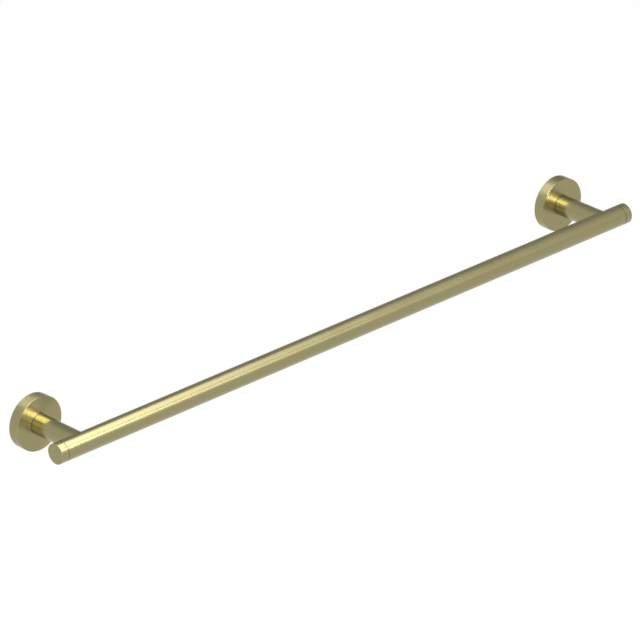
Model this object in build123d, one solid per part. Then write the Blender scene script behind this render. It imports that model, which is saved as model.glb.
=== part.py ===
from build123d import *
import os

# Wall-mounted towel rail, in millimetres.
# A round tube lies across the saddled ends of two arms. One screw inside each arm draws the tube, the arm and
# a cup-shaped rose together. The rose drops over a bracket on the wall, and a grub screw from below locks it.
# +X runs along the bar, +Y goes into the wall and +Z is up. The origin is on the wall, midway between the
# two arms and level with the bar's axis.

# Layout
arm_spacing = 610.0  # between the axes of the two arms, 24 inches
bar_overhang = 27.0  # from an arm's axis to the outer face of the end cap
bar_standoff = 59.5  # from the wall to the bar's axis

# Bar and its end caps
bar_diameter = 18.0
bar_wall = 1.2
cap_head = 7.0  # length of the cap outside the tube
cap_edge = 0.2  # chamfer round the cap's outer face
cap_lead = 0.6  # chamfer at the end of the spigot
cap_to_insert = 3.0  # free space in the tube between the cap's spigot and the insert

# Arms and roses
arm_diameter = 18.0
tenon_diameter = 10.0  # end of the arm that centres it in the rose
rose_diameter = 48.0
rose_depth = 10.0
rose_face = 2.5  # thickness of the front wall
rose_rim = 3.0  # thickness of the rim
rose_edge = 0.2  # chamfer round the front

# Tie screw, spring washer and insert
tie_thread = 6.0
tie_head_diameter = 10.0
tie_head_height = 4.0
tie_socket = 4.0  # across the flats of the key
tie_socket_depth = 2.0
tie_past_axis = 1.5  # how far the screw goes past the bar's axis
tie_point = 0.8  # chamfer at the screw's tip
washer_thickness = 1.5
washer_lap = 1.9  # bearing of the washer outside the hole in the rose
insert_length = 16.0

# Wall bracket
bracket_foot = 1.5  # straight side next to the wall
bracket_land = 1.0  # straight side at the front
slot_length = 9.0
slot_width = 4.4
slot_countersink = 1.5
countersink_slope = 45.0  # degrees

# Grub screw
grub_thread = 4.0
grub_socket = 2.0  # across the flats of the key
grub_socket_depth = 2.0
grub_recess = 0.3  # depth of its end below the rose's rim
grub_point = 0.4  # radius of the flat on its cone point

# Clearances and edges
seam_chamfer = 0.2  # on each edge that shows at a joint
saddle_clearance = 0.05
cap_clearance = 0.05
insert_clearance = 0.1
tenon_clearance = 0.1
tenon_relief = 0.3  # the tenon stops short, so the washer bears on the rose
tie_clearance = 0.3
washer_bore_clearance = 0.2
thread_clearance = 0.05
bracket_clearance = 0.3  # between the bracket's edge and the rose's rim
bracket_front_gap = 1.0  # between the bracket and the rose's front wall
bracket_bore_clearance = 1.3  # round the washer
grub_seat_clearance = 0.05

# Radii and heights that several pieces share. Heights on an arm are measured from the wall.
bar_radius = bar_diameter / 2
bar_bore = bar_radius - bar_wall
tube_end = arm_spacing / 2 + bar_overhang - cap_head
cap_spigot = bar_overhang - cap_head - insert_length / 2 - cap_to_insert
tie_radius = tie_thread / 2
tie_hole = tie_radius + tie_clearance
tapped_hole = tie_radius + thread_clearance
rose_radius = rose_diameter / 2
pocket_radius = rose_radius - rose_rim
pocket_depth = rose_depth - rose_face
rose_hole = tenon_diameter / 2 + tenon_clearance
washer_radius = rose_hole + washer_lap
bracket_radius = pocket_radius - bracket_clearance
bracket_depth = pocket_depth - bracket_front_gap
bracket_flank = bracket_depth - bracket_foot - bracket_land  # a slope of 45 degrees, so also its inset
bracket_back = bracket_radius - bracket_flank
bracket_bore = washer_radius + bracket_bore_clearance
slot_offset = (bracket_bore + bracket_back) / 2
grub_radius = grub_thread / 2
grub_height = bracket_foot + bracket_flank / 2
through = 1.0  # how far a cutter runs past the surface that it opens

# Each arm stands on its own place on the wall, with its own Z axis pointing away from the wall.
sides = {"left": -1, "right": 1}
arm_places = {side: Location((sign * arm_spacing / 2, 0, 0), (90, 0, 0)) for side, sign in sides.items()}
bar_place = Location((0, -bar_standoff, 0), (0, 90, 0))
saddle_place = Location((0, 0, bar_standoff), (0, 90, 0))
grub_place = Location((0, 0, grub_height), (90, 0, 0))
from_base = (Align.CENTER, Align.CENTER, Align.MIN)


def turned(*outline):
    """A turned solid about Z, from (radius, height) corners."""
    return revolve(make_face(Plane.XZ * Polyline(*outline, close=True)), Axis.Z)


def hex_socket(across_flats, depth):
    """A key socket, sunk from the height zero upwards."""
    return extrude(RegularPolygon(across_flats / 2, 6, major_radius=False), depth)


def towel_bar():
    """The tube, with a screw hole through its back wall at each arm."""
    chamfered = bar_radius - seam_chamfer
    tube = bar_place * turned(
        (bar_bore, -tube_end),
        (chamfered, -tube_end),
        (bar_radius, -tube_end + seam_chamfer),
        (bar_radius, tube_end - seam_chamfer),
        (chamfered, tube_end),
        (bar_bore, tube_end),
    )
    back_hole = Pos(Z=bar_standoff - bar_radius - through) * Cylinder(
        tie_hole, bar_radius + through, align=from_base
    )
    for place in arm_places.values():
        tube -= place * back_hole
    return tube


def end_cap():
    """A plug with its spigot below height zero and its head above."""
    spigot_radius = bar_bore - cap_clearance
    return turned(
        (0, -cap_spigot),
        (spigot_radius - cap_lead, -cap_spigot),
        (spigot_radius, -cap_spigot + cap_lead),
        (spigot_radius, 0),
        (bar_radius - seam_chamfer, 0),
        (bar_radius, seam_chamfer),
        (bar_radius, cap_head - cap_edge),
        (bar_radius - cap_edge, cap_head),
        (0, cap_head),
    )


def bar_insert():
    """The slug inside the tube, tapped across its middle for the tie screw."""
    slug = Cylinder(bar_bore - insert_clearance, insert_length)
    return saddle_place * slug - Pos(Z=bar_standoff) * Cylinder(tapped_hole, bar_diameter)


def arm():
    """The arm: a tenon in the rose, a shoulder on it, and a saddle that fits the bar."""
    tenon_end = pocket_depth + tenon_relief
    arm_radius = arm_diameter / 2
    rod = turned(
        (tie_hole, tenon_end),
        (tenon_diameter / 2, tenon_end),
        (tenon_diameter / 2, rose_depth),
        (arm_radius - seam_chamfer, rose_depth),
        (arm_radius, rose_depth + seam_chamfer),
        (arm_radius, bar_standoff),
        (tie_hole, bar_standoff),
    )
    saddle = Cylinder(bar_radius + saddle_clearance, arm_diameter + bar_diameter)
    return rod - saddle_place * saddle


def rose():
    """The cup over the bracket, with a tapped hole for the grub screw in the underside of its rim."""
    cup = turned(
        (rose_hole, pocket_depth),
        (rose_hole, rose_depth),
        (rose_radius - rose_edge, rose_depth),
        (rose_radius, rose_depth - rose_edge),
        (rose_radius, 0),
        (pocket_radius, 0),
        (pocket_radius, pocket_depth),
    )
    grub_hole = Cylinder(grub_radius + thread_clearance, rose_radius + through, align=from_base)
    return cup - grub_place * grub_hole


def tie_screw():
    """A low cap-head screw, its head towards the wall and its tip in the insert."""
    seat = pocket_depth - washer_thickness
    head_end = seat - tie_head_height
    tip = bar_standoff + tie_past_axis
    screw = turned(
        (0, head_end),
        (tie_head_diameter / 2, head_end),
        (tie_head_diameter / 2, seat),
        (tie_radius, seat),
        (tie_radius, tip - tie_point),
        (tie_radius - tie_point, tip),
        (0, tip),
    )
    return screw - Pos(Z=head_end) * hex_socket(tie_socket, tie_socket_depth)


def spring_washer():
    """The washer between the screw's head and the rose's front wall."""
    bore = tie_radius + washer_bore_clearance
    seat = pocket_depth - washer_thickness
    return turned((bore, seat), (washer_radius, seat), (washer_radius, pocket_depth), (bore, pocket_depth))


def wall_bracket():
    """A disc that is narrower at the wall, with two countersunk slots for the wall screws."""
    disc = turned(
        (bracket_bore, 0),
        (bracket_back, 0),
        (bracket_back, bracket_foot),
        (bracket_radius, bracket_foot + bracket_flank),
        (bracket_radius, bracket_depth),
        (bracket_bore, bracket_depth),
    )
    slot = extrude(SlotOverall(slot_length, slot_width), bracket_depth)
    mouth = SlotOverall(slot_length + 2 * slot_countersink, slot_width + 2 * slot_countersink)
    slot += extrude(Pos(Z=bracket_depth) * mouth, -slot_countersink, taper=countersink_slope)
    for height in (-slot_offset, slot_offset):
        disc -= Pos(Y=height) * slot
    return disc


def grub_screw():
    """A cone-point screw along its own Z, outwards, whose point bears on the bracket's sloping edge."""
    apex = bracket_radius - bracket_flank / 2 + grub_seat_clearance
    end = rose_radius - grub_recess
    screw = turned(
        (0, apex + grub_point),
        (grub_point, apex + grub_point),
        (grub_radius, apex + grub_radius),
        (grub_radius, end),
        (0, end),
    )
    return screw - Pos(Z=end - grub_socket_depth) * hex_socket(grub_socket, grub_socket_depth)


pieces = {"towel_bar": towel_bar()}
for side, place in arm_places.items():
    outwards = Location((sides[side] * tube_end, -bar_standoff, 0), (0, sides[side] * 90, 0))
    pieces[f"end_cap_{side}"] = outwards * end_cap()
    pieces[f"bar_insert_{side}"] = place * bar_insert()
    pieces[f"arm_{side}"] = place * arm()
    pieces[f"rose_{side}"] = place * rose()
    pieces[f"tie_screw_{side}"] = place * tie_screw()
    pieces[f"spring_washer_{side}"] = place * spring_washer()
    pieces[f"wall_bracket_{side}"] = place * wall_bracket()
    pieces[f"grub_screw_{side}"] = place * (grub_place * grub_screw())

os.makedirs("parts", exist_ok=True)
for node, solid in pieces.items():
    export_step(solid, f"parts/{node}.step")
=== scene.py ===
from math import cos, pi, radians, sin, tau

import bpy
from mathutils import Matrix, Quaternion, Vector


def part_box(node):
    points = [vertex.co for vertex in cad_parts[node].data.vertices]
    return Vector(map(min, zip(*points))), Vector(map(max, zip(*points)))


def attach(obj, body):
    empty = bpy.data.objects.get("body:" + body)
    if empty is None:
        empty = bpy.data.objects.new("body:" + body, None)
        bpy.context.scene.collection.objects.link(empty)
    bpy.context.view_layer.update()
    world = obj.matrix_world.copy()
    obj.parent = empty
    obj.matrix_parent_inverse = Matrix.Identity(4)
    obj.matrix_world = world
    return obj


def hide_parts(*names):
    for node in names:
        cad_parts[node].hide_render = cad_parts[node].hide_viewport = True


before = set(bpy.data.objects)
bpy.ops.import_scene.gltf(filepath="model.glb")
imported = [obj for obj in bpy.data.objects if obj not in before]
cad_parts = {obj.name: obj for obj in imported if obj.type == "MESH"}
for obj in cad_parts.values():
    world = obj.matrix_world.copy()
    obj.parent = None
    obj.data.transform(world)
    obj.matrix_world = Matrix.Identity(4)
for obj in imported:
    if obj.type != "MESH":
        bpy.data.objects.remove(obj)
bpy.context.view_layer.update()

# A wall-mounted towel rail in brushed brass. Each piece is turned from half a section, as on a lathe, and
# takes the place of its CAD node. The right-hand pieces are modelled, and copied to the left-hand side.
MM = 0.001
DRAWING_STEP = 0.05  # millimetres
X, Y, Z = range(3)
ALONG_BAR = Vector((1, 0, 0))
OUT_OF_WALL = Vector((0, -1, 0))
UP = Vector((0, 0, 1))
DOWN = -UP


def on_step(metres):
    """A length in millimetres, to the nearest step of the drawing."""
    return round(metres / MM / DRAWING_STEP) * DRAWING_STEP


def sizes(node):
    """A CAD node's lowest and highest corner, in millimetres."""
    return [[on_step(part) for part in corner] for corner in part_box(node)]


# Sizes that the frame gives, in millimetres. Heights on an arm are measured out from the wall.
_, bar_high = sizes("towel_bar")
cap_low, cap_high = sizes("end_cap_right")
arm_low, arm_high = sizes("arm_right")
rose_low, rose_high = sizes("rose_right")
bracket_low, bracket_high = sizes("wall_bracket_right")
washer_low, washer_high = sizes("spring_washer_right")
tie_low, tie_high = sizes("tie_screw_right")
grub_low, grub_high = sizes("grub_screw_right")
_, insert_high = sizes("bar_insert_right")
TUBE_END = bar_high[X]
BAR_RADIUS = bar_high[Z]
BAR_Y = bar_high[Y] - BAR_RADIUS
STAND_OFF = -BAR_Y
CAP_HEAD = cap_high[X] - TUBE_END
CAP_SPIGOT = TUBE_END - cap_low[X]
ARM_X = (arm_low[X] + arm_high[X]) / 2
ARM_RADIUS = arm_high[Z]
TENON_END = -arm_high[Y]
ROSE_RADIUS = rose_high[Z]
ROSE_DEPTH = -rose_low[Y]
BRACKET_RADIUS = bracket_high[Z]
BRACKET_DEPTH = -bracket_low[Y]
WASHER_RADIUS = washer_high[Z]
WASHER_SEAT = -washer_high[Y]
POCKET_DEPTH = -washer_low[Y]
TIE_HEAD_RADIUS = tie_high[Z]
TIE_HEAD_END = -tie_high[Y]
TIE_TIP = -tie_low[Y]
GRUB_Y = (grub_low[Y] + grub_high[Y]) / 2
GRUB_RADIUS = grub_high[X] - ARM_X
GRUB_POINT_END = -grub_high[Z]
GRUB_END = -grub_low[Z]
INSERT_RADIUS = insert_high[Z]
INSERT_END = insert_high[X] - ARM_X

# Sizes inside the pieces and at their edges, in millimetres
BAR_WALL = 1.2
CAP_LEAD = 0.6  # chamfer at the end of the spigot
TENON_RADIUS = 5.0
ROSE_RIM = 3.0
BRACKET_FOOT = 1.5  # straight side next to the wall
BRACKET_LAND = 1.0  # straight side at the front
SLOT_LENGTH = 9.0
SLOT_RADIUS = 2.2
COUNTERSINK = 1.5
TIE_RADIUS = 3.0
TIE_POINT = 0.8  # chamfer at the tip
TIE_KEY = 4.0  # across the flats of the key
GRUB_POINT = 0.4  # radius of the flat on the cone point
GRUB_KEY = 2.0
KEY_DEPTH = 2.0
SEAM_GAP = 0.2  # how far each edge stands back at a joint that shows
SEAM_DEPTH = 0.6

# Clearances, in millimetres
CAP_FIT = 0.05
SADDLE_FIT = 0.05
TENON_FIT = 0.1
TIE_FIT = 0.3
WASHER_FIT = 0.2
THREAD_FIT = 0.05
BRACKET_BORE_FIT = 1.3  # round the washer

# Sizes worked out from those above
BAR_BORE = BAR_RADIUS - BAR_WALL
TIE_HOLE = TIE_RADIUS + TIE_FIT
TAPPED_HOLE = TIE_RADIUS + THREAD_FIT
WASHER_BORE = TIE_RADIUS + WASHER_FIT
GRUB_HOLE = GRUB_RADIUS + THREAD_FIT
ROSE_HOLE = TENON_RADIUS + TENON_FIT
POCKET_RADIUS = ROSE_RADIUS - ROSE_RIM
FLANK_END = BRACKET_DEPTH - BRACKET_LAND
BRACKET_BACK = BRACKET_RADIUS - (FLANK_END - BRACKET_FOOT)  # the flank slopes at 45 degrees
BRACKET_BORE = WASHER_RADIUS + BRACKET_BORE_FIT
SLOT_OFFSET = (BRACKET_BORE + BRACKET_BACK) / 2

# Modelling
ROUND_STEPS = 144
SMALL_STEPS = 48
KEY_SIDES = 6
EDGE_ROUNDING = 0.15  # millimetres, what brushing leaves on a machined edge
EDGE_SEGMENTS = 3
SHARP_ANGLE = radians(28)  # edges from here on are rounded
SMOOTH_ANGLE = radians(40)  # facets up to here are shaded as one surface
AREA_WEIGHT = 50  # a corner's shading follows its faces by their area
WELD = 1e-7  # metres
THROUGH = 1.0  # millimetres that a cutter runs past the surface that it opens

arm_foot = (ARM_X, 0, 0)
bar_foot = (ARM_X, BAR_Y, 0)
grub_foot = (ARM_X, GRUB_Y, 0)


def pick(piece):
    """Makes the piece the only selected object, and the active one."""
    bpy.ops.object.select_all(action="DESELECT")
    piece.select_set(True)
    bpy.context.view_layer.objects.active = piece


def turn(name, foot, axis, outline, across=UP, steps=ROUND_STEPS):
    """Draws half a section from (radius, height) corners and spins it about its axis, as on a lathe.

    The section of a ring, which stays off the axis, is closed.
    """
    foot = Vector(foot)
    corners = [(foot + axis * height + across * radius) * MM for radius, height in outline]
    if min(radius for radius, height in outline) > 0:
        corners.append(corners[0])
    bpy.ops.object.select_all(action="DESELECT")
    bpy.ops.mesh.primitive_plane_add(size=MM)
    piece = bpy.context.object
    piece.name = piece.data.name = name
    bpy.ops.object.mode_set(mode="EDIT")
    bpy.ops.mesh.merge(type="CENTER")
    bpy.ops.transform.translate(value=corners[0])
    for here, there in zip(corners, corners[1:]):
        bpy.ops.mesh.extrude_region_move(TRANSFORM_OT_translate={"value": there - here})
    bpy.ops.mesh.select_all(action="SELECT")
    bpy.ops.mesh.spin(steps=steps, angle=tau, center=foot * MM, axis=axis)
    bpy.ops.mesh.select_all(action="SELECT")
    bpy.ops.mesh.remove_doubles(threshold=WELD)
    bpy.ops.mesh.normals_make_consistent(inside=False)
    bpy.ops.object.mode_set(mode="OBJECT")
    return piece


def apply_modifier(piece, kind, **settings):
    """Adds a modifier with its settings, and applies it."""
    pick(piece)
    modifier = piece.modifiers.new(kind.lower(), kind)
    for name, value in settings.items():
        setattr(modifier, name, value)
    bpy.ops.object.modifier_apply(modifier=modifier.name)


def soften(piece):
    """Rounds every turned edge a little."""
    apply_modifier(
        piece, "BEVEL", width=EDGE_ROUNDING * MM, segments=EDGE_SEGMENTS,
        limit_method="ANGLE", angle_limit=SHARP_ANGLE,
    )
    return piece


def cut(piece, cutter):
    """Takes the cutter's shape out of the piece."""
    apply_modifier(piece, "BOOLEAN", operation="DIFFERENCE", solver="EXACT", object=cutter)
    bpy.data.objects.remove(cutter)


def drill(piece, foot, axis, radius, start, end, across=UP, steps=SMALL_STEPS):
    """Takes a straight hole out of the piece. With a key's sides as its steps, it is a key socket."""
    outline = [(0, start), (radius, start), (radius, end), (0, end)]
    cut(piece, turn("drill", foot, axis, outline, across, steps))


def between(axis, steps):
    """Upwards, but turned by half a step, which keeps a cutter's corners clear of its piece's corners."""
    return Quaternion(axis, pi / steps) @ UP


def stand_back(piece, foot, axis, radius, start, end):
    """Takes a fine square step out of an edge, so that its joint shows as a thin dark line."""
    inner, outer = radius - SEAM_DEPTH, radius + THROUGH
    outline = [(inner, start), (outer, start), (outer, end), (inner, end)]
    cut(piece, turn("step", foot, axis, outline, between(axis, ROUND_STEPS)))


def key_radius(across_flats):
    """From the middle to a corner of a key."""
    return across_flats / 2 / cos(pi / KEY_SIDES)


def stretch(piece, shift):
    """Moves the two halves of a round cutter apart along the bar, which makes it a slot."""
    pick(piece)
    for sign in (-1, 1):
        bpy.ops.object.mode_set(mode="EDIT")
        bpy.ops.mesh.select_all(action="DESELECT")
        bpy.ops.object.mode_set(mode="OBJECT")
        for corner in piece.data.vertices:
            corner.select = sign * (corner.co.x - ARM_X * MM) > 0
        bpy.ops.object.mode_set(mode="EDIT")
        bpy.ops.transform.translate(value=ALONG_BAR * (sign * shift * MM))
        bpy.ops.object.mode_set(mode="OBJECT")


def shift_mesh(piece, operator, **settings):
    """Moves or turns the whole of the piece's mesh, so that its object stays at the origin."""
    pick(piece)
    bpy.ops.object.mode_set(mode="EDIT")
    bpy.ops.mesh.select_all(action="SELECT")
    operator(**settings)
    bpy.ops.object.mode_set(mode="OBJECT")


def copy_to_left(piece, name):
    """Copies a right-hand piece, with a mesh of its own, to the left-hand arm."""
    pick(piece)
    bpy.ops.object.duplicate()
    copy = bpy.context.object
    copy.name = copy.data.name = name
    shift_mesh(copy, bpy.ops.transform.translate, value=ALONG_BAR * (-2 * ARM_X * MM))
    return copy


def turn_round(piece):
    """Turns a left-hand piece about its own arm, so that its other end is outwards."""
    middle = Vector((-ARM_X, BAR_Y, 0)) * MM
    shift_mesh(piece, bpy.ops.transform.rotate, value=pi, orient_axis="Z", center_override=middle)


def hand_over(piece, node, material):
    """Smooths the piece, gives it its finish and puts it in place of its CAD node."""
    pick(piece)
    bpy.ops.object.shade_smooth_by_angle(angle=SMOOTH_ANGLE)
    apply_modifier(piece, "WEIGHTED_NORMAL", mode="FACE_AREA", weight=AREA_WEIGHT, keep_sharp=True)
    piece.data.materials.clear()
    piece.data.materials.append(material)
    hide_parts(node)
    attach(piece, "root")


def tube(name):
    """The bar: a tube with a screw hole through its back wall at each arm."""
    middle = (0, BAR_Y, 0)
    piece = soften(turn(name, middle, ALONG_BAR, [
        (BAR_BORE, -TUBE_END), (BAR_RADIUS, -TUBE_END), (BAR_RADIUS, TUBE_END), (BAR_BORE, TUBE_END),
    ]))
    for side in (-1, 1):
        stand_back(piece, middle, ALONG_BAR * side, BAR_RADIUS, TUBE_END - SEAM_GAP, TUBE_END + THROUGH)
        drill(piece, (side * ARM_X, BAR_Y, 0), -OUT_OF_WALL, TIE_HOLE, 0, BAR_RADIUS + THROUGH)
    return piece


def cap(name):
    """A turned cap: a head flush with the tube, and a spigot inside it."""
    spigot = BAR_BORE - CAP_FIT
    tube_face = (TUBE_END, BAR_Y, 0)
    piece = soften(turn(name, tube_face, ALONG_BAR, [
        (0, -CAP_SPIGOT), (spigot - CAP_LEAD, -CAP_SPIGOT), (spigot, CAP_LEAD - CAP_SPIGOT),
        (spigot, 0), (BAR_RADIUS, 0), (BAR_RADIUS, CAP_HEAD), (0, CAP_HEAD),
    ]))
    stand_back(piece, tube_face, ALONG_BAR, BAR_RADIUS, -THROUGH, SEAM_GAP)
    return piece


def arm(name):
    """An arm: a tenon, a shoulder that stands on the rose, and a saddle cut to the bar."""
    piece = soften(turn(name, arm_foot, OUT_OF_WALL, [
        (TIE_HOLE, TENON_END), (TENON_RADIUS, TENON_END), (TENON_RADIUS, ROSE_DEPTH),
        (ARM_RADIUS, ROSE_DEPTH), (ARM_RADIUS, STAND_OFF), (TIE_HOLE, STAND_OFF),
    ]))
    # The rose's edge doesn't stand back, so the arm's does so twice as far.
    stand_back(piece, arm_foot, OUT_OF_WALL, ARM_RADIUS, ROSE_DEPTH - THROUGH, ROSE_DEPTH + 2 * SEAM_GAP)
    reach = ARM_RADIUS + BAR_RADIUS
    drill(piece, bar_foot, ALONG_BAR, BAR_RADIUS + SADDLE_FIT, -reach, reach, steps=ROUND_STEPS)
    return piece


def rose(name):
    """A cup-shaped rose with a tapped hole in the underside of its rim."""
    piece = soften(turn(name, arm_foot, OUT_OF_WALL, [
        (ROSE_HOLE, POCKET_DEPTH), (ROSE_HOLE, ROSE_DEPTH), (ROSE_RADIUS, ROSE_DEPTH),
        (ROSE_RADIUS, 0), (POCKET_RADIUS, 0), (POCKET_RADIUS, POCKET_DEPTH),
    ]))
    drill(piece, grub_foot, DOWN, GRUB_HOLE, POCKET_RADIUS - THROUGH, ROSE_RADIUS + THROUGH, ALONG_BAR)
    return piece


def insert(name):
    """The slug in the tube, tapped across its middle for the tie screw."""
    piece = soften(turn(name, bar_foot, ALONG_BAR, [
        (0, -INSERT_END), (INSERT_RADIUS, -INSERT_END), (INSERT_RADIUS, INSERT_END), (0, INSERT_END),
    ]))
    drill(piece, bar_foot, OUT_OF_WALL, TAPPED_HOLE, -BAR_RADIUS, BAR_RADIUS)
    return piece


def bracket(name):
    """A disc that is narrower at the wall, with two countersunk slots for the wall screws."""
    piece = soften(turn(name, arm_foot, OUT_OF_WALL, [
        (BRACKET_BORE, 0), (BRACKET_BACK, 0), (BRACKET_BACK, BRACKET_FOOT), (BRACKET_RADIUS, FLANK_END),
        (BRACKET_RADIUS, BRACKET_DEPTH), (BRACKET_BORE, BRACKET_DEPTH),
    ]))
    mouth = SLOT_RADIUS + COUNTERSINK + THROUGH
    for height in (-SLOT_OFFSET, SLOT_OFFSET):
        slot = turn("slot", (ARM_X, 0, height), OUT_OF_WALL, [
            (0, -THROUGH), (SLOT_RADIUS, -THROUGH), (SLOT_RADIUS, BRACKET_DEPTH - COUNTERSINK),
            (mouth, BRACKET_DEPTH + THROUGH), (0, BRACKET_DEPTH + THROUGH),
        ], between(OUT_OF_WALL, SMALL_STEPS), SMALL_STEPS)
        stretch(slot, SLOT_LENGTH / 2 - SLOT_RADIUS)
        cut(piece, slot)
    return piece


def tie_screw(name):
    """A low cap-head screw, its head towards the wall and its tip in the insert."""
    piece = soften(turn(name, arm_foot, OUT_OF_WALL, [
        (0, TIE_HEAD_END), (TIE_HEAD_RADIUS, TIE_HEAD_END), (TIE_HEAD_RADIUS, WASHER_SEAT),
        (TIE_RADIUS, WASHER_SEAT), (TIE_RADIUS, TIE_TIP - TIE_POINT), (TIE_RADIUS - TIE_POINT, TIE_TIP),
        (0, TIE_TIP),
    ]))
    start, end = TIE_HEAD_END - THROUGH, TIE_HEAD_END + KEY_DEPTH
    drill(piece, arm_foot, OUT_OF_WALL, key_radius(TIE_KEY), start, end, steps=KEY_SIDES)
    return piece


def washer(name):
    """The spring washer between the tie screw's head and the rose, pressed flat."""
    return soften(turn(name, arm_foot, OUT_OF_WALL, [
        (WASHER_BORE, WASHER_SEAT), (WASHER_RADIUS, WASHER_SEAT),
        (WASHER_RADIUS, POCKET_DEPTH), (WASHER_BORE, POCKET_DEPTH),
    ]))


def grub_screw(name):
    """A cone-point screw in the rim of the rose, with its socket downwards."""
    cone_end = GRUB_POINT_END + GRUB_RADIUS - GRUB_POINT
    piece = soften(turn(name, grub_foot, DOWN, [
        (0, GRUB_POINT_END), (GRUB_POINT, GRUB_POINT_END), (GRUB_RADIUS, cone_end),
        (GRUB_RADIUS, GRUB_END), (0, GRUB_END),
    ], ALONG_BAR, SMALL_STEPS))
    start, end = GRUB_END - KEY_DEPTH, GRUB_END + THROUGH
    drill(piece, grub_foot, DOWN, key_radius(GRUB_KEY), start, end, ALONG_BAR, KEY_SIDES)
    return piece


def srgb(code):
    """Turns a hex colour into linear red, green, blue and alpha."""
    parts = [int(code[i:i + 2], 16) / 255 for i in (1, 3, 5)]
    return [p / 12.92 if p <= 0.04045 else ((p + 0.055) / 1.055) ** 2.4 for p in parts] + [1.0]


def add_node(tree, kind, inputs=None, **settings):
    """Adds a node with its settings. Each input is a value, or a socket that is linked to it."""
    node = tree.nodes.new(kind)
    for name, value in settings.items():
        setattr(node, name, value)
    for socket, value in (inputs or {}).items():
        if isinstance(value, bpy.types.NodeSocket):
            tree.links.new(value, node.inputs[socket])
        else:
            node.inputs[socket].default_value = value
    return node


def new_tree(owner):
    """Gives a material or the world an empty node tree."""
    owner.use_nodes = True
    owner.node_tree.nodes.clear()
    return owner.node_tree


# Marks on the metals, in millimetres. Brushed and turned lines are about 0.1 mm apart in the real thing.
# They are drawn wider apart, so that they show.
BRUSHING = 0.5
TURNING = 0.3
ZINC_BLOOM = 3.0
HANDLING = 35.0
MARK_DEPTH = 0.001

STROKE = 0.02  # how much a stroke of the brush is squeezed along its length
NOISE_DETAIL = 2.0
NOISE_LOW, NOISE_HIGH = 0.3, 0.7  # where most of a noise lies
HANDLED = 0.015  # how far handling moves the roughness
ROUND = 0.25  # turns the shine from lines along the axis to lines round it

# Where the bar, the arms and the grub screws have their axes, as distances from the middle of the rail.
# The lines are the same on both sides of it.
AXES = {"X": (0, -BAR_Y, 0), "Y": (ARM_X, 0, 0), "Z": (ARM_X, -GRUB_Y, 0)}


def round_lines(tree, place, axis):
    """Lines round an axis, which are circles on a flat end: the way along it plus the way out from it."""
    along = [float(name == axis) for name in "XYZ"]
    out = [1 - part for part in along]
    centre = [size * MM for size in AXES[axis]]
    half = add_node(tree, "ShaderNodeVectorMath", {0: place}, operation="ABSOLUTE").outputs[0]
    centred = add_node(tree, "ShaderNodeVectorMath", {0: half, 1: centre}, operation="SUBTRACT").outputs[0]
    flat = add_node(tree, "ShaderNodeVectorMath", {0: centred, 1: out}, operation="MULTIPLY").outputs[0]
    radius = add_node(tree, "ShaderNodeVectorMath", {0: flat}, operation="LENGTH")
    height = add_node(tree, "ShaderNodeVectorMath", {0: half, 1: along}, operation="DOT_PRODUCT")
    run = add_node(tree, "ShaderNodeMath", {
        0: height.outputs["Value"], 1: radius.outputs["Value"],
    }, operation="ADD").outputs[0]
    return add_node(tree, "ShaderNodeCombineXYZ", {"X": run}).outputs[0]


def long_lines(tree, place, axis):
    """Lines along an axis."""
    squeeze = [STROKE if name == axis else 1.0 for name in "XYZ"]
    return add_node(tree, "ShaderNodeMapping", {"Vector": place, "Scale": squeeze}).outputs[0]


def bloom(tree, place, axis):
    """Soft patches with no direction."""
    return place


def metal(name, tones, pattern, pitch, axis, roughness, anisotropy=0.0, turned=0.0):
    """A metal whose two tones follow its marks, a little more or less rough where it was handled."""
    material = bpy.data.materials.new(name)
    tree = new_tree(material)
    place = add_node(tree, "ShaderNodeTexCoord").outputs["Object"]
    marks = add_node(tree, "ShaderNodeTexNoise", {
        "Vector": pattern(tree, place, axis), "Scale": 1 / (pitch * MM), "Detail": NOISE_DETAIL,
    }).outputs["Fac"]
    colour = add_node(tree, "ShaderNodeMix", {
        "Factor": marks, "A": srgb(tones[0]), "B": srgb(tones[1]),
    }, data_type="RGBA")
    handling = add_node(tree, "ShaderNodeTexNoise", {
        "Vector": place, "Scale": 1 / (HANDLING * MM), "Detail": NOISE_DETAIL,
    }).outputs["Fac"]
    polish = add_node(tree, "ShaderNodeMapRange", {
        "Value": handling, "From Min": NOISE_LOW, "From Max": NOISE_HIGH,
        "To Min": roughness - HANDLED, "To Max": roughness + HANDLED,
    })
    relief = add_node(tree, "ShaderNodeBump", {"Height": marks, "Distance": MARK_DEPTH * MM})
    tangent = add_node(tree, "ShaderNodeTangent", direction_type="RADIAL", axis=axis)
    shader = add_node(tree, "ShaderNodeBsdfPrincipled", {
        "Base Color": colour.outputs[2], "Metallic": 1.0, "Roughness": polish.outputs["Result"],
        "Normal": relief.outputs["Normal"], "Tangent": tangent.outputs["Tangent"],
        "Anisotropic": anisotropy, "Anisotropic Rotation": turned,
    })
    add_node(tree, "ShaderNodeOutputMaterial", {"Surface": shader.outputs["BSDF"]})
    return material


# Brushed brass: drawn tube and turned rod, brushed and lacquered to a pale olive gold. The lines run round
# the bar, its caps and the roses, and along the arms. The eye gets soft streaks of light across the lines.
BRASS = ("#928B65", "#9C956E")
bar_brass = metal(
    "brushed_brass_round_bar", BRASS, round_lines, BRUSHING, "X",
    roughness=0.269, anisotropy=0.3, turned=ROUND,
)
rose_brass = metal(
    "brushed_brass_round_rose", BRASS, round_lines, BRUSHING, "Y",
    roughness=0.3, anisotropy=0.75, turned=ROUND,
)
arm_brass = metal(
    "brushed_brass_along_arm", BRASS, long_lines, BRUSHING, "Y",
    roughness=0.24, anisotropy=0.6,
)

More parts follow.
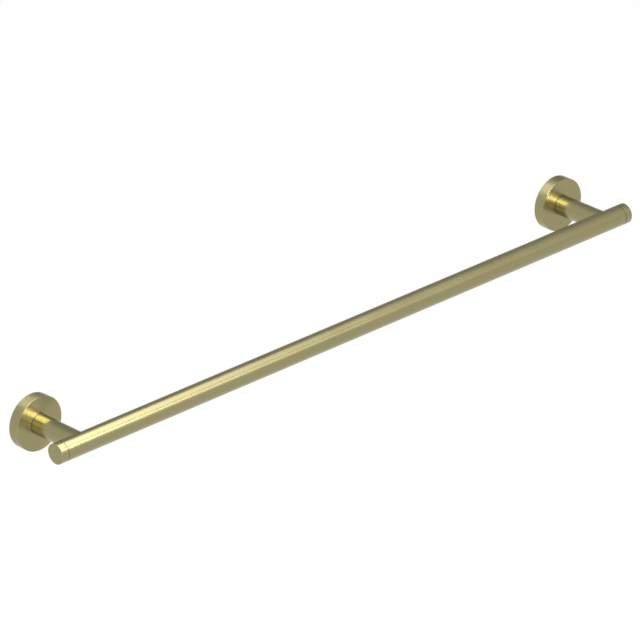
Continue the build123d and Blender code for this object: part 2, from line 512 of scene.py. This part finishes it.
# Turned brass: the yellow of raw brass, with the fine rings that the lathe leaves
RAW_BRASS = ("#BFA566", "#CEB577")
raw_brass = metal(
    "turned_brass", RAW_BRASS, round_lines, TURNING, "X",
    roughness=0.3, anisotropy=0.5, turned=ROUND,
)

# Zinc-plated steel: a dull blue grey with a cloudy bloom
ZINC = ("#AEB3B6", "#C6C9CB")
zinc = metal("zinc_plated_steel", ZINC, bloom, ZINC_BLOOM, "Y", roughness=0.42)

# Stainless steel: a clean warm grey, turned in fine rings that catch a narrow shine
STEEL = ("#ADACA7", "#C0BFBB")
screw_steel = metal(
    "turned_stainless_steel", STEEL, round_lines, TURNING, "Y",
    roughness=0.3, anisotropy=0.5, turned=ROUND,
)
grub_steel = metal(
    "turned_stainless_steel_upright", STEEL, round_lines, TURNING, "Z",
    roughness=0.3, anisotropy=0.5, turned=ROUND,
)

# The pieces. A cap is the only one that isn't the same on both sides of its arm, so the left one is turned.
hand_over(tube("bar_tube"), "towel_bar", bar_brass)
for name, node, make, material, slot in (
    ("bar_cap", "end_cap", cap, bar_brass, "brushed_brass"),
    ("arm_rod", "arm", arm, arm_brass, "brushed_brass"),
    ("rose_cup", "rose", rose, rose_brass, "brushed_brass"),
    ("insert_slug", "bar_insert", insert, raw_brass, "turned_brass"),
    ("bracket_disc", "wall_bracket", bracket, zinc, "plated_steel"),
    ("tie_bolt", "tie_screw", tie_screw, screw_steel, "stainless_steel"),
    ("washer_ring", "spring_washer", washer, screw_steel, "stainless_steel"),
    ("grub_bolt", "grub_screw", grub_screw, grub_steel, "stainless_steel"),
):
    right = make(f"{name}_right")
    left = copy_to_left(right, f"{name}_left")
    if make is cap:
        turn_round(left)
    hand_over(right, f"{node}_right", material)
    hand_over(left, f"{node}_left", material)

# Studio, in metres
WHITE = "#FFFFFF"
FLOOR_TONE = "#EEEEEE"
FLOOR_Z = -1.0
FLOOR_SIZE = 60.0
FLOOR_WHITE = 0.96  # the rest is the lit floor, with the shadow on it


def floor_paint():
    """Pale matt paint that the camera and the metal see as white. From below it is clear."""
    material = bpy.data.materials.new("pale_floor")
    tree = new_tree(material)
    path = add_node(tree, "ShaderNodeLightPath").outputs
    seen = path["Is Camera Ray"]
    for ray in ("Is Glossy Ray", "Is Transmission Ray"):
        seen = add_node(tree, "ShaderNodeMath", {0: seen, 1: path[ray]}, operation="MAXIMUM").outputs[0]
    share = add_node(tree, "ShaderNodeMath", {0: seen, 1: FLOOR_WHITE}, operation="MULTIPLY").outputs[0]
    white = add_node(tree, "ShaderNodeEmission", {"Color": srgb(WHITE), "Strength": 1.0}).outputs[0]
    pale = add_node(tree, "ShaderNodeBsdfDiffuse", {"Color": srgb(FLOOR_TONE)}).outputs[0]
    lit = add_node(tree, "ShaderNodeMixShader", {0: share, 1: pale, 2: white}).outputs[0]
    below = add_node(tree, "ShaderNodeNewGeometry").outputs["Backfacing"]
    clear = add_node(tree, "ShaderNodeBsdfTransparent").outputs[0]
    one_sided = add_node(tree, "ShaderNodeMixShader", {0: below, 1: lit, 2: clear}).outputs[0]
    add_node(tree, "ShaderNodeOutputMaterial", {"Surface": one_sided})
    return material


bpy.ops.object.select_all(action="DESELECT")
bpy.ops.mesh.primitive_plane_add(size=FLOOR_SIZE, location=(0, 0, FLOOR_Z))
floor = bpy.context.object
floor.name = "floor"
floor.data.materials.append(floor_paint())

# The room is a pale grey, lighter towards the lamps at the front left.
ROOM_LIGHT = (-0.77, -0.64, 0.0)
ROOM_FAR, ROOM_NEAR = 0.42, 0.92
FADE_START, FADE_END = -0.9, 0.0  # cosines of the angle to the lighter side

world = bpy.data.worlds.new("studio")
bpy.context.scene.world = world
tree = new_tree(world)
heading = add_node(tree, "ShaderNodeTexCoord").outputs["Generated"]
towards = add_node(tree, "ShaderNodeVectorMath", {0: heading, 1: ROOM_LIGHT}, operation="DOT_PRODUCT")
fade = add_node(tree, "ShaderNodeMapRange", {
    "Value": towards.outputs["Value"], "From Min": FADE_START, "From Max": FADE_END,
    "To Min": ROOM_FAR, "To Max": ROOM_NEAR,
}, interpolation_type="SMOOTHSTEP").outputs["Result"]
room = add_node(tree, "ShaderNodeBackground", {"Color": srgb(WHITE), "Strength": fade}).outputs[0]
add_node(tree, "ShaderNodeOutputWorld", {"Surface": room})

# Soft lamps, parallel to the bar. The front and the overhead lamp are each a bright panel with a dimmer one
# on its right, so that the streaks on the bar fade along it. The other two are at the front left.
LAMP_CENTRE = Vector((0, -0.04, 0))
LAMP_REACH = 1.1
LAMPS_LEFT, LAMPS_RIGHT = -1.3, 0.74
FRONT_SPLIT, OVERHEAD_SPLIT = 0.2, 0.3  # where the dimmer panels begin
FRONT = {"elevation": 41.5, "height": 0.34}
OVERHEAD = {"elevation": 85.0, "height": 1.13}


def softbox(name, left, right, elevation, height, level):
    """A soft lamp, turned to the bar. Its level is how bright its face is, where 1 is white."""
    lamp = bpy.data.lights.new(name, "AREA")
    lamp.shape = "RECTANGLE"
    lamp.size, lamp.size_y = right - left, height
    lamp.energy = pi * lamp.size * lamp.size_y * level
    holder = bpy.data.objects.new(name, lamp)
    up = radians(elevation)
    away = OUT_OF_WALL * cos(up) + UP * sin(up)
    holder.location = LAMP_CENTRE + ALONG_BAR * ((left + right) / 2) + away * LAMP_REACH
    holder.rotation_euler = (pi / 2 - up, 0, 0)
    holder.visible_camera = False
    bpy.context.scene.collection.objects.link(holder)


softbox("front_box", left=-0.6, right=FRONT_SPLIT, level=24.0, **FRONT)
softbox("front_edge", left=FRONT_SPLIT, right=LAMPS_RIGHT, level=2.3, **FRONT)
softbox("overhead_box", left=-0.8, right=OVERHEAD_SPLIT, level=7.1, **OVERHEAD)
softbox("overhead_edge", left=OVERHEAD_SPLIT, right=LAMPS_RIGHT, level=2.5, **OVERHEAD)
softbox("left_box", left=LAMPS_LEFT, right=-0.7, elevation=15.0, height=0.58, level=6.8)
softbox("low_box", left=LAMPS_LEFT, right=-0.5, elevation=-20.0, height=0.8, level=2.3)

# Camera at the photograph's viewing angle, in metres, with its sensor and lens in millimetres
AZIMUTH = radians(-44.047)
ELEVATION = radians(25.787)
AIM = Vector((-0.03601, BAR_Y * MM, 0.02045))
DISTANCE = 5.3756
SENSOR = 36.0
LENS = 363.6
FARTHEST = 200.0

away = Vector((sin(AZIMUTH) * cos(ELEVATION), -cos(AZIMUTH) * cos(ELEVATION), sin(ELEVATION)))
camera = bpy.data.objects.new("camera", bpy.data.cameras.new("camera"))
camera.data.sensor_fit = "HORIZONTAL"
camera.data.sensor_width = SENSOR
camera.data.lens = LENS
camera.data.clip_end = FARTHEST
camera.location = AIM + away * DISTANCE
camera.rotation_euler = (-away).to_track_quat("-Z", "Y").to_euler()
bpy.context.scene.collection.objects.link(camera)
bpy.context.scene.camera = camera
bpy.context.scene.view_settings.view_transform = "Standard"
